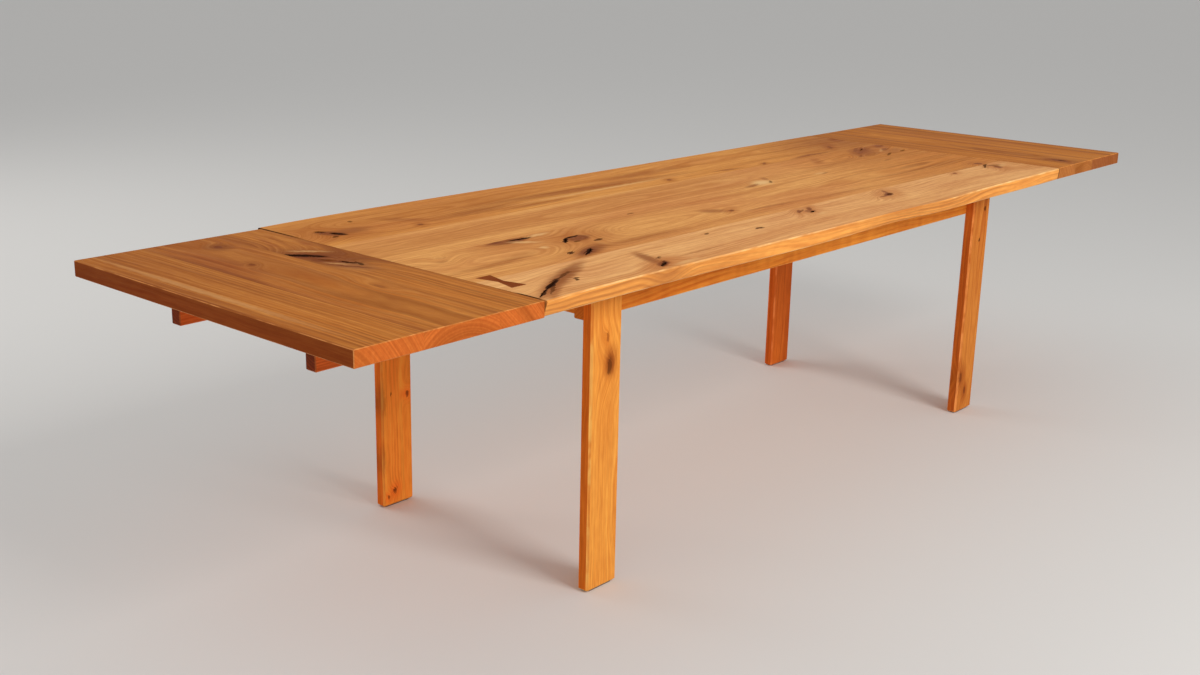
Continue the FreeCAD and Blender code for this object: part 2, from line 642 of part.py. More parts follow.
BEARERS = (
    ("left_front", f"-{OUTER_BEARER}", 0),
    ("left_back", INNER_BEARER, 0),
    ("right_back", f"-{OUTER_BEARER}", 180),
    ("right_front", INNER_BEARER, 180),
)
for corner, across, turn in BEARERS:
    bearer(corner + "_bearer", across, turn)
    stop_peg(corner + "_stop_peg", across, turn)


# Leaves: three boards across the table. The board next to the top is bowed a little along the seam,
# so that it touches in the middle first, and it holds the two locating dowels.

def leaf_plan(body, label, start, end):
    """The plan of a plain board of a leaf, between two distances from the seam."""
    return add_rectangle(new_sketch(body, label + "_plan", "XY_Plane"), start, "0", end, "dims.leaf_width")


def bowed_plan(body, label, end):
    """The plan of the board next to the seam: three straight sides and a flat arc."""
    sketch = new_sketch(body, label + "_plan", "XY_Plane")
    start = "dims.seam_bow"
    corners = [(start, "0"), (end, "0"), (end, "dims.leaf_width"), (start, "dims.leaf_width")]
    spots = [FreeCAD.Vector(value(x), value(y), 0) for x, y in corners]
    for first, second in zip(spots, spots[1:]):
        sketch.addGeometry(Part.LineSegment(first, second), False)
    crown = FreeCAD.Vector(0, value("dims.leaf_width / 2"), 0)
    arc = sketch.addGeometry(Part.Arc(spots[3], crown, spots[0]), False)
    for number, (x, y) in enumerate(corners[:3]):
        bind_point(sketch, number, 1, x, y)
    bind_point(sketch, 2, 2, *corners[3])
    sketch.addConstraint(Sketcher.Constraint("Coincident", 0, 2, 1, 1))
    sketch.addConstraint(Sketcher.Constraint("Coincident", 1, 2, 2, 1))
    sketch.addConstraint(Sketcher.Constraint("Coincident", 2, 2, arc, 1))
    sketch.addConstraint(Sketcher.Constraint("Coincident", arc, 2, 0, 1))
    radius = "(dims.leaf_width * dims.leaf_width / 4 + dims.seam_bow * dims.seam_bow) / (2 * dims.seam_bow)"
    index = sketch.addConstraint(Sketcher.Constraint("Radius", arc, value(radius)))
    sketch.setExpression("Constraints[%d]" % index, radius)
    return sketch


def leaf(side, inner_width, middle_width, turn):
    """One leaf, built outwards from the seam; the left one is turned about and counted from its back."""
    base_y = f"-({LEAF_FRONT} + dims.leaf_width)" if turn else LEAF_FRONT
    stations = ("0", inner_width, f"({inner_width} + {middle_width})", "dims.leaf_length")
    for name, start, end in zip(("inner", "middle", "outer"), stations, stations[1:]):
        label = f"{side}_leaf_{name}_board"
        body = doc.addObject("PartDesign::Body", label)
        plan = bowed_plan(body, label, end) if name == "inner" else leaf_plan(body, label, start, end)
        pad(body, plan, "dims.top_thickness")
        last = value("dims.leaf_length")
        ease(body, "dims.leaf_chamfer", lambda box: (
            (same(box.YLength, 0) and same(box.ZLength, 0))
            or (same(box.XMin, last) and same(box.XLength, 0))))
        if name == "inner":
            holes = new_sketch(body, label + "_dowel_holes", "YZ_Plane")
            for across in (FRONT_DOWEL, BACK_DOWEL):
                place = f"-({across}) - {base_y}" if turn else f"{across} - {base_y}"
                add_circle(holes, place, "dims.top_thickness / 2", GLUED_DOWEL_HOLE)
            cut(body, holes, "dims.dowel_bite + dims.fitting_clearance")
        put(body, LEAF_START, base_y, UNDERSIDE, turn)
        keep(body, label)
    places = [
        (f"{HALF_TOP} - dims.dowel_reach", f"-({across})" if turn else across, DOWEL_LEVEL, turn)
        for across in (FRONT_DOWEL, BACK_DOWEL)]
    keep(group(side + "_leaf_dowels", dowel, places), side + "_leaf_dowels")


dowel = doc.addObject("PartDesign::Body", "dowel")
dowel_section = add_circle(new_sketch(dowel, "dowel_section", "YZ_Plane"), "0", "0", "dims.dowel_diameter")
pad(dowel, dowel_section, "dims.dowel_reach + dims.seam_gap + dims.dowel_bite")
ease(dowel, "dims.leaf_chamfer", lambda box: same(box.XMax, 0))
leaf("left", "dims.left_inner_board", "dims.left_middle_board", 180)
leaf("right", "dims.right_inner_board", "dims.right_middle_board", 0)


# Checks and files

doc.recompute()
failed = [item.Name for item in doc.Objects if "Invalid" in item.State or "Error" in item.State]
failed += [piece.Label for piece in pieces if piece.Shape.isNull() or not piece.Shape.isValid()]
if failed:
    raise RuntimeError("not built: " + ", ".join(failed))
os.makedirs("parts", exist_ok=True)
for piece in pieces:
    piece.Shape.exportStep("parts/" + piece.Label + ".step")
print(len(pieces), "pieces written")
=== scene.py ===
# Extending dining table in oiled solid wood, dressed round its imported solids.
# Metres, in the frame of the solids: +X along the table to the right, -Y its front, +Z up.

import math
import random
import bmesh
import bpy
from mathutils import Matrix, Vector


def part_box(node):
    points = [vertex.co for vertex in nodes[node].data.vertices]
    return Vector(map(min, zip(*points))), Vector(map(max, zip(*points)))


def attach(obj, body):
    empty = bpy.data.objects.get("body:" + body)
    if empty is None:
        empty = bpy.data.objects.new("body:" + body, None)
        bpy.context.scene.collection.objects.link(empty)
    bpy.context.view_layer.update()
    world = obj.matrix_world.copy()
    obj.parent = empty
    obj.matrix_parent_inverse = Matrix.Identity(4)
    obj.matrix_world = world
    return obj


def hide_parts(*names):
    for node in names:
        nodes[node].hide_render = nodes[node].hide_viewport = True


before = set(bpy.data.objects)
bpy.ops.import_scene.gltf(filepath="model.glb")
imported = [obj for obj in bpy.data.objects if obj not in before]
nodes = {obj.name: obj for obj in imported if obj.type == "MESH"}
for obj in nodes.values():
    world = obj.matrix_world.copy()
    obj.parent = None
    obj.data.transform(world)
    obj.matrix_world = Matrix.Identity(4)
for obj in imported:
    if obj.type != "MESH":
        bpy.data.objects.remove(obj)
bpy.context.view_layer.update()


# Legs: four planks of oiled hardwood, wide face to the long sides, with every upright edge and the foot
# eased by a plane. Each is housed over a long apron and drawn up to it by two bolts from inside.

def tone(red, green, blue):
    """A colour as it looks on paper, 0 to 255, turned into light."""
    light = []
    for part in (red, green, blue):
        share = part / 255
        light.append(share / 12.92 if share <= 0.04045 else ((share + 0.055) / 1.055) ** 2.4)
    return light + [1.0]


class Finish:
    """A material under way: its node tree, and short ways to add to it."""

    def __init__(self, name):
        self.material = bpy.data.materials.new(name)
        self.material.use_nodes = True
        self.tree = self.material.node_tree
        self.shader = self.tree.nodes["Principled BSDF"]

    def add(self, kind, feeds, output=0, **settings):
        """A node with its settings, its inputs fed by sockets or plain values; gives one output."""
        made = self.tree.nodes.new("ShaderNode" + kind)
        for setting, choice in settings.items():
            setattr(made, setting, choice)
        for key, feed in feeds.items():
            self.feed(made.inputs[key], feed)
        return made.outputs[output]

    def feed(self, socket, feed):
        """Links a socket to another, or sets a plain value on it."""
        if isinstance(feed, bpy.types.NodeSocket):
            self.tree.links.new(feed, socket)
        else:
            socket.default_value = feed

    def split(self, vector):
        """The three numbers of a vector."""
        return self.add("SeparateXYZ", {0: vector}).node.outputs

    def math(self, operation, first, second=0.0, third=0.0):
        """One sum of numbers."""
        return self.add("Math", {0: first, 1: second, 2: third}, operation=operation)

    def vector(self, operation, first, second):
        """One sum of vectors."""
        return self.add("VectorMath", {0: first, 1: second}, operation=operation)

    def step(self, value, low, high, at_low=0.0, at_high=1.0):
        """A soft step of a value between two levels."""
        return self.add("MapRange", {0: value, 1: low, 2: high, 3: at_low, 4: at_high},
                        interpolation_type="SMOOTHSTEP")

    def blend(self, share, first, second, mode="MIX"):
        """Two colours mixed by a share."""
        return self.add("Mix", {0: share, 6: first, 7: second}, 2, data_type="RGBA", blend_type=mode)

    def noise(self, spot, stretch, detail=2.0, output=0):
        """Clouds in a place scaled along the grain, across it and into the wood."""
        scaled = self.vector("MULTIPLY", spot, stretch)
        return self.add("TexNoise", {"Vector": scaled, "Scale": 1.0, "Detail": detail}, output)

    def drift(self, spot, stretch, amount):
        """A shift that wanders from place to place, across the grain and into the wood."""
        centred = self.vector("SUBTRACT", self.noise(spot, stretch, output=1), (0.5, 0.5, 0.5))
        return self.vector("MULTIPLY", centred, (0.0, amount, amount))

    def oval(self, spot, along, across, half_length, half_width, turn):
        """1 in the middle of an oval on the face, falling to 0 at its rim."""
        about = self.add("Mapping", {
            "Vector": spot, "Location": (along, across, 0.0),
            "Rotation": (0.0, 0.0, math.radians(turn)),
            "Scale": (half_length, half_width, THROUGH)}, vector_type="TEXTURE")
        return self.add("TexGradient", {0: about}, 1, gradient_type="SPHERICAL")


# A mark goes right through its board. Each kind has a tone, and the levels of its oval at which it
# begins and is full. The tints are the wood's own colour, and where they lighten the front of the left
# leaf and darken its back they are partly painted light. The others lie on its surface, but for the seam
# shadow, which is the painted shadow in the gap where a leaf meets the top.
THROUGH = 1000.0
MARKS = {
    "gold": (tone(202, 124, 48), 0.00, 0.90),
    "dark": (tone(164, 90, 30), 0.00, 0.90),
    "red": (tone(154, 76, 30), 0.00, 0.90),
    "knot": (tone(122, 58, 20), 0.16, 0.60),
    "crack": (tone(62, 32, 16), 0.10, 0.40),
    "shake": (tone(50, 27, 15), 0.22, 0.52),
    "seam": (tone(34, 20, 13), 0.05, 0.50),
    "stain": (tone(146, 80, 32), 0.02, 0.75),
    "pale": (tone(236, 190, 128), 0.02, 0.90),
}
TINTS = ("gold", "dark", "red")

# Waves to the metre, along the grain, across it and into the wood, of whatever varies in it
TRUNK_SWINGS = (1.1, 3.5, 3.5)
RIPPLES = (5.0, 9.0, 9.0)
CURLS = (30.0, 5.0, 9.0)
FIBRES = (22.0, 900.0, 900.0)
FLECKS = (26.0, 140.0, 140.0)
RED_CLOUDS = (1.4, 6.0, 6.0)
FRAYS = (50.0, 90.0, 0.0)
ARRIS_WEAR_AND_HIGHLIGHT_BREAKS = (20.0, 40.0, 40.0)

# The same for what follows the rings: along the grain, and from ring to ring
YEAR_WIDTHS = (0.15, 45.0, 1.0)
FAINT_YEARS = (1.6, 28.0, 1.0)
STREAKS = (4.0, 260.0, 1.0)
BAND_RUN = 0.7

# How far a knot bends the rings, in its own half lengths and half widths, and how high it lifts them
KNOT_BEND_LENGTH = 3.5
KNOT_BEND_WIDTH = 4.0
KNOT_BEND_RISE = 1.8

# How unlike the years are, how dark their lines stay in a tint, how pale an arris is made, partly by rubbed
# wear and partly by a painted highlight, and the powers of red, green and blue that keep shaded fibres warm
UNEVEN_YEARS = 2.2
LINE_IN_TINT = 0.62
WEAR_AND_HIGHLIGHT_GAIN = 1.35
WEAR_AND_HIGHLIGHT_LIFT = 0.05
SHADE_POWERS = (0.7, 1.2, 1.3)

# The shine of the oil, the dull hollows of cracks, and the relief of the pores
OIL_SHINE = 0.03
HOLLOW_DULLNESS = 0.4
HOLLOW_DEPTH = -3.0
PORE_STRENGTH = 0.3
PORE_DEPTH = 0.0005


def wood(name, grain, shades, pith, offset, ring=0.008, contrast=0.7, bands=0.5, band_width=0.05,
         warp=0.03, ripple=0.006, curl=0.0, roughness=0.5, wear=0.8, edge=None, edge_lines=0.6, marks=()):
    """Oiled wood. grain names the axes along the grain, across the face and into the board. shades are
    its pale, middle, deep and red tones. pith is the rings' centre, across and into the board, and
    offset tells one board's figure from another's. ring is a year's width, contrast how dark its late
    wood is, and bands and band_width are the darker stripes. warp and ripple bend the rings, and curl
    waves the light across them. wear is how far arrises are paled, partly as rubbed wear and partly as a
    painted highlight. edge holds the tones of the faces that look to the long sides, if they differ, and
    to the ends, and edge_lines how clear the rings are there. A mark is a kind, a place along and across,
    a half length and half width, a turn in degrees and a strength."""
    finish = Finish(name)
    pale, middle, deep, red = shades
    axes = finish.split(finish.add("TexCoord", {}, "Object"))
    order = ["XYZ".index(axis) for axis in grain]
    along = axes[order[0]]
    spot = finish.add("CombineXYZ", {number: axes[axis] for number, axis in enumerate(order)})
    shifted = finish.vector("ADD", spot, (offset, offset, offset))

    # rings round the pith, bent by slow swings of the trunk, small ripples and the knots
    bent = finish.vector("ADD", spot, finish.drift(shifted, TRUNK_SWINGS, warp))
    bent = finish.vector("ADD", bent, finish.drift(shifted, RIPPLES, ripple))
    turned = finish.split(bent)
    away = finish.add("CombineXYZ", {
        0: finish.math("SUBTRACT", turned[1], pith[0]), 1: finish.math("SUBTRACT", turned[2], pith[1])})
    field = finish.add("VectorMath", {0: away}, "Value", operation="LENGTH")
    halo = None
    for kind, place, across, half_length, half_width, turn, strength in marks:
        if kind == "knot":
            near = finish.oval(spot, place, across, half_length * KNOT_BEND_LENGTH,
                               half_width * KNOT_BEND_WIDTH, turn)
            rise = finish.math("MULTIPLY", finish.math("POWER", near, 2.0), half_width * KNOT_BEND_RISE)
            field = finish.math("ADD", field, rise)
            near = finish.math("MULTIPLY", near, strength)
            halo = near if halo is None else finish.math("MAXIMUM", halo, near)
    flow = finish.add("CombineXYZ", {0: along, 1: field, 2: offset})
    uneven = finish.noise(flow, YEAR_WIDTHS, 1.0)
    count = finish.math("MULTIPLY_ADD", uneven, UNEVEN_YEARS, finish.math("DIVIDE", field, ring))
    year = finish.math("FRACT", count)
    late = finish.math("SUBTRACT", finish.step(year, 0.05, 0.82), finish.step(year, 0.86, 1.0))
    plainer = finish.step(finish.noise(flow, FAINT_YEARS), 0.32, 0.66, 0.2, 1.0)
    line = finish.math("MULTIPLY", late, plainer)

    # fibres and bands that follow the rings, and clouds of redder wood
    streak = finish.noise(flow, STREAKS, 3.0)
    fibre = finish.noise(shifted, FIBRES)
    fleck = finish.noise(shifted, FLECKS, 3.0)
    band = finish.noise(flow, (BAND_RUN, 1.0 / band_width, 1.0), 1.5)
    cloud = finish.noise(shifted, RED_CLOUDS)
    figure = finish.math("MULTIPLY", line, contrast)
    colour = finish.blend(figure, pale, middle)
    colour = finish.blend(finish.step(band, 0.44, 0.70, 0.0, bands), colour, deep)
    colour = finish.blend(finish.step(cloud, 0.45, 0.72, 0.0, 0.45), colour, red)
    shade = finish.math("MULTIPLY", finish.step(streak, 0.25, 0.75, 0.83, 1.15),
                        finish.step(fibre, 0.30, 0.72, 1.05, 0.93))
    shade = finish.math("MULTIPLY", shade, finish.step(fleck, 0.30, 0.70, 0.93, 1.06))
    if curl:
        wave = finish.noise(bent, CURLS, 1.0)
        shade = finish.math("MULTIPLY", shade, finish.step(wave, 0.35, 0.65, 1.0 - curl, 1.0 + curl))
    facing = finish.split(finish.add("NewGeometry", {}, "True Normal"))
    upright = finish.step(facing[2], 0.5, 0.95, 1.0, 0.0)
    if edge:
        endwise = finish.step(finish.math("ABSOLUTE", facing[0]), 0.5, 0.8)
        edged = finish.blend(endwise, edge[0], edge[1]) if edge[0] else edge[1]
        edged = finish.blend(finish.math("MULTIPLY", line, edge_lines), edged, deep)
        edged = finish.blend(finish.step(band, 0.44, 0.70, 0.0, 0.5 * bands), edged, deep)
        colour = finish.blend(upright if edge[0] else endwise, colour, edged)

    # tints of the wood itself, which on the left leaf are partly painted light, frayed along the grain,
    # under its fibres, and off edges with their own tone
    fray = finish.add("CombineXYZ", {
        0: finish.math("MULTIPLY_ADD", streak, 0.03, -0.015),
        1: finish.math("MULTIPLY_ADD", finish.noise(spot, FRAYS, 3.0), 0.014, -0.007)})
    frayed = finish.vector("ADD", spot, fray)
    for kind, place, across, half_length, half_width, turn, strength in marks:
        if kind in TINTS:
            mark_tone, rim, core = MARKS[kind]
            near = finish.oval(frayed, place, across, half_length, half_width, turn)
            lined = finish.blend(figure, mark_tone, [part * LINE_IN_TINT for part in mark_tone])
            share = finish.step(near, rim, core, 0.0, strength)
            if edge and edge[0]:
                share = finish.math("MULTIPLY", share, finish.math("SUBTRACT", 1.0, upright))
            colour = finish.blend(share, colour, lined)

    # deeper wood round the knots, paler arrises, partly rubbed wear and partly a painted highlight, and the
    # fibres' shade, which stays warm where it is dark
    if halo is not None:
        colour = finish.blend(finish.step(halo, 0.15, 0.70, 0.0, 0.75), colour, deep)
    square = finish.math("ABSOLUTE", facing[0])
    for part in (facing[1], facing[2]):
        square = finish.math("MAXIMUM", square, finish.math("ABSOLUTE", part))
    arris_wear_and_highlight = finish.step(finish.noise(shifted, ARRIS_WEAR_AND_HIGHLIGHT_BREAKS), 0.35, 0.60, 0.3 * wear, wear)
    wear_and_highlight_tone = [min(1.0, part * WEAR_AND_HIGHLIGHT_GAIN + WEAR_AND_HIGHLIGHT_LIFT) for part in pale]
    arris_wear_and_highlight = finish.math("MULTIPLY", finish.step(square, 0.74, 0.84, 1.0, 0.0), arris_wear_and_highlight)
    colour = finish.blend(arris_wear_and_highlight, colour, wear_and_highlight_tone)
    warm_shade = finish.add("CombineColor", {
        number: finish.math("POWER", shade, power) for number, power in enumerate(SHADE_POWERS)})
    colour = finish.blend(1.0, colour, warm_shade, "MULTIPLY")

    # knots, stains, cracks, and the painted shadow in the gaps at the seams
    hollow = None
    for kind, place, across, half_length, half_width, turn, strength in marks:
        if kind in TINTS:
            continue
        mark_tone, rim, core = MARKS[kind]
        ground = spot if kind == "seam" else frayed
        near = finish.oval(ground, place, across, half_length, half_width, turn)
        share = finish.step(near, rim, core, 0.0, strength)
        if kind == "shake":
            wall = finish.math("MULTIPLY", upright, finish.step(near, 0.02, 0.12))
            share = finish.math("MAXIMUM", share, wall)
        colour = finish.blend(share, colour, mark_tone)
        if kind in ("crack", "shake", "seam"):
            hollow = share if hollow is None else finish.math("MAXIMUM", hollow, share)
    finish.feed(finish.shader.inputs["Base Color"], colour)
    rough = finish.step(streak, 0.2, 0.8, roughness + 0.09, roughness - 0.05)
    if hollow is not None:
        rough = finish.math("MULTIPLY_ADD", hollow, HOLLOW_DULLNESS, rough)
    finish.feed(finish.shader.inputs["Roughness"], rough)
    finish.shader.inputs["Specular IOR Level"].default_value = OIL_SHINE

    # open pores, slightly sunk early wood and the hollow of each crack
    height = finish.math("MULTIPLY_ADD", fibre, -0.5, finish.math("MULTIPLY", line, 0.3))
    if hollow is not None:
        height = finish.math("MULTIPLY_ADD", hollow, HOLLOW_DEPTH, height)
    finish.feed(finish.shader.inputs["Normal"], finish.add("Bump", {
        "Strength": PORE_STRENGTH, "Distance": PORE_DEPTH, "Height": height}))
    return finish.material


def dress(names, material):
    """Gives one finish to nodes of the frame."""
    for name in names:
        slots = nodes[name].data.materials
        slots.clear()
        slots.append(material)


# Each leg has its shades, the tone of its narrow faces, its heart's place off the middle, and its marks.
# All four legs are of one wood, and their shades are lit and shaded copies of it: the front right leg's
# are darker as a painted fall-off of the light, the back right leg's are painted shade, and the back left
# leg's are raised as painted light. The narrow faces' tone paints the light and shade they have beside
# the wide faces. The back left leg gets less of the paler arris tone, which is partly wear and partly a
# painted highlight.
LEG_SHADES = (tone(244, 166, 74), tone(224, 130, 46), tone(214, 117, 40), tone(222, 124, 44))
PAINTED_FALLOFF_LEG_SHADES = (tone(216, 134, 56), tone(186, 96, 32), tone(172, 86, 28), tone(182, 92, 32))
PAINTED_LIGHT_LEG_SHADES = (tone(255, 160, 62), tone(255, 138, 50), tone(252, 120, 42), tone(250, 116, 40))
SHADED_LEG_SHADES = (tone(228, 118, 42), tone(198, 92, 30), tone(174, 76, 23), tone(184, 80, 25))
LEGS = {
    "front_left": (LEG_SHADES, tone(232, 118, 34), 0.05, (
        ("red", 0.536, -0.853, 0.056, 0.032, 4, 0.9),
        ("knot", 0.532, -0.854, 0.040, 0.022, 6, 0.45),
        ("crack", 0.526, -0.857, 0.026, 0.009, 8, 0.55),
        ("knot", 0.594, -0.864, 0.018, 0.006, 0, 0.5))),
    "front_right": (PAINTED_FALLOFF_LEG_SHADES, tone(208, 106, 38), 0.02, (
        ("crack", 0.641, 0.886, 0.010, 0.007, 0, 0.8), ("crack", 0.547, 0.865, 0.008, 0.006, 0, 0.9),
        ("knot", 0.114, 0.830, 0.026, 0.014, 0, 0.8), ("knot", 0.065, 0.863, 0.020, 0.010, 0, 0.8))),
    "back_right": (SHADED_LEG_SHADES, tone(216, 100, 34), 0.03, ()),
    "back_left": (PAINTED_LIGHT_LEG_SHADES, tone(228, 112, 33), 0.04, (
        ("knot", 0.294, -0.833, 0.012, 0.010, 20, 0.8), ("crack", 0.298, -0.886, 0.005, 0.004, 0, 0.8),
        ("knot", 0.041, -0.879, 0.012, 0.009, 30, 0.9), ("knot", 0.028, -0.900, 0.008, 0.006, 0, 0.8),
        ("red", 0.290, -0.914, 0.070, 0.016, 0, 0.6), ("red", 0.130, -0.914, 0.060, 0.010, 0, 0.4))),
}
LEG_HEART_DEPTH = 0.04
for number, (corner, (shades, narrow, heart, marks)) in enumerate(LEGS.items()):
    low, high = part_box(corner + "_leg")
    pith = ((low.x + high.x) / 2 + heart, low.y - LEG_HEART_DEPTH)
    dress([corner + "_leg"], wood(
        corner + "_leg_wood", "ZXY", shades, pith, 1.7 * number, ring=0.009, contrast=0.6, bands=0.3,
        warp=0.03, ripple=0.016, wear=0.3 if corner == "back_left" else 0.7,
        edge=(None, narrow), edge_lines=0.5, marks=marks))


# Felt pads: one under the foot of each leg, cut from thick pressed grey-brown felt a little smaller
# than the foot, and glued on so that the table slides without scratching the floor.

felt = Finish("pressed_felt")
felt_place = felt.add("TexCoord", {}, "Object")
FELT_HAIRS = (900.0, 900.0, 900.0)
felt_fuzz = felt.noise(felt_place, FELT_HAIRS, 4.0)
felt_colour = felt.blend(felt_fuzz, tone(62, 54, 47), tone(108, 97, 86))
felt.feed(felt.shader.inputs["Base Color"], felt_colour)
felt.shader.inputs["Roughness"].default_value = 0.95
felt.shader.inputs["Sheen Weight"].default_value = 0.4
felt.feed(felt.shader.inputs["Normal"], felt.add("Bump", {
    "Strength": 0.6, "Distance": 0.0008, "Height": felt_fuzz}))
dress([corner + "_felt_pad" for corner in LEGS], felt.material)


# Long aprons: two sawn boards on edge behind the legs, with a rippled figure, from the same wood as the
# legs. Inside they are grooved for the buttons and mortised for the boards across the frame, and they are
# drilled for the leg bolts.

RAIL_SHADES = (tone(242, 154, 58), tone(220, 120, 38), tone(200, 102, 30), tone(208, 104, 32))
for number, name in enumerate(("front_apron", "back_apron")):
    low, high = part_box(name)
    heart = (low.z - 0.05, low.y - 0.05)
    dress([name], wood(
        name + "_wood", "XZY", RAIL_SHADES, heart, 3.1 * number + 0.4,
        ring=0.010, bands=0.5, band_width=0.03, warp=0.05, curl=0.06))


# End aprons and cross rails: boards across the frame, stub-tenoned into the long aprons and notched for
# the bearers. The buttons that hold the top are sawn from the same stock.

RAILS = ("left_end_apron", "right_end_apron", "left_cross_rail", "right_cross_rail")
for number, name in enumerate(RAILS):
    low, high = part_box(name)
    heart = (low.z - 0.04, low.x - 0.06)
    dress([name], wood(
        name + "_wood", "YZX", RAIL_SHADES, heart, 2.3 * number + 5,
        bands=0.5, band_width=0.03, warp=0.04))
BUTTON_HEART = (0.0, 0.5)
dress(["top_buttons"], wood("button_wood", "YXZ", RAIL_SHADES, BUTTON_HEART, 9.0, ring=0.006))


# Leg bolts, washers, inserts and button screws: stock ironmongery, the inserts turned from brass and the
# rest steel with a bright zinc plate. The bolts go through the long aprons from inside, over a washer,
# into the inserts in the legs, and the screws hold the buttons up to the top.

TOOL_STREAKS = (1500.0, 1500.0, 200.0)
HANDLING = (120.0, 120.0, 120.0)


def metal(name, bright, dull, rough):
    """Plated or turned metal with fine streaks and a little wear."""
    finish = Finish(name)
    place = finish.add("TexCoord", {}, "Object")
    streak = finish.noise(place, TOOL_STREAKS)
    wear = finish.noise(place, HANDLING, 3.0)
    finish.feed(finish.shader.inputs["Base Color"], finish.blend(wear, bright, dull))
    finish.shader.inputs["Metallic"].default_value = 1.0
    uneven = finish.step(streak, 0.2, 0.8, rough - 0.08, rough + 0.1)
    finish.feed(finish.shader.inputs["Roughness"], uneven)
    finish.feed(finish.shader.inputs["Normal"], finish.add("Bump", {
        "Strength": 0.1, "Distance": 0.0002, "Height": streak}))
    return finish.material


dress(["leg_bolts", "leg_washers", "button_screws"],
      metal("zinc_plate", tone(206, 208, 212), tone(158, 160, 166), 0.34))
dress(["leg_inserts"], metal("turned_brass", tone(214, 178, 104), tone(168, 132, 70), 0.3))


# Bearers: four straight bars on edge that pull out to carry the leaves, waxed so that they run in their
# notches. Their tones, redder than the frame's, are partly the painted shade under the top, and their dark
# ends are partly end grain and partly painted shade. A turned peg through each tail stops it from being
# drawn right out.

BEARER_SHADES = (tone(240, 132, 60), tone(210, 98, 40), tone(172, 72, 28), tone(186, 74, 30))
BEARER_SIDES_AND_SHADED_ENDS = (tone(226, 112, 48), tone(104, 48, 26))
PEG_SHADES = (tone(226, 190, 140), tone(206, 166, 114), tone(184, 140, 90), tone(196, 146, 100))
PEG_HEART = (0.0, 0.6)
for number, corner in enumerate(("left_front", "left_back", "right_front", "right_back")):
    low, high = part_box(corner + "_bearer")
    heart = (high.z + 0.05, low.y - 0.03)
    dress([corner + "_bearer"], wood(
        corner + "_bearer_wood", "XZY", BEARER_SHADES, heart, 4.3 * number + 2,
        ring=0.007, roughness=0.4, wear=0.2, edge=BEARER_SIDES_AND_SHADED_ENDS))
    dress([corner + "_stop_peg"], wood(
        corner + "_stop_peg_wood", "YXZ", PEG_SHADES, PEG_HEART, float(number), ring=0.003))


# Top boards: four wide boards glued edge to edge, natural along the front and back, oiled to a satin
# finish. The knots, shakes and burls are left in the surface, and the widest shakes stand open.

BACK_SHADES = (tone(222, 152, 74), tone(204, 130, 54), tone(180, 104, 38), tone(190, 110, 48))
TOP_SHADES = (tone(229, 165, 93), tone(210, 140, 72), tone(188, 114, 51), tone(200, 122, 65))
FRONT_SHADES = (tone(234, 175, 112), tone(218, 154, 90), tone(198, 126, 66), tone(208, 138, 84))
TOP_EDGE = (tone(252, 170, 84), tone(226, 150, 78))
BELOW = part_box("top_third_board")[0].z - 0.05
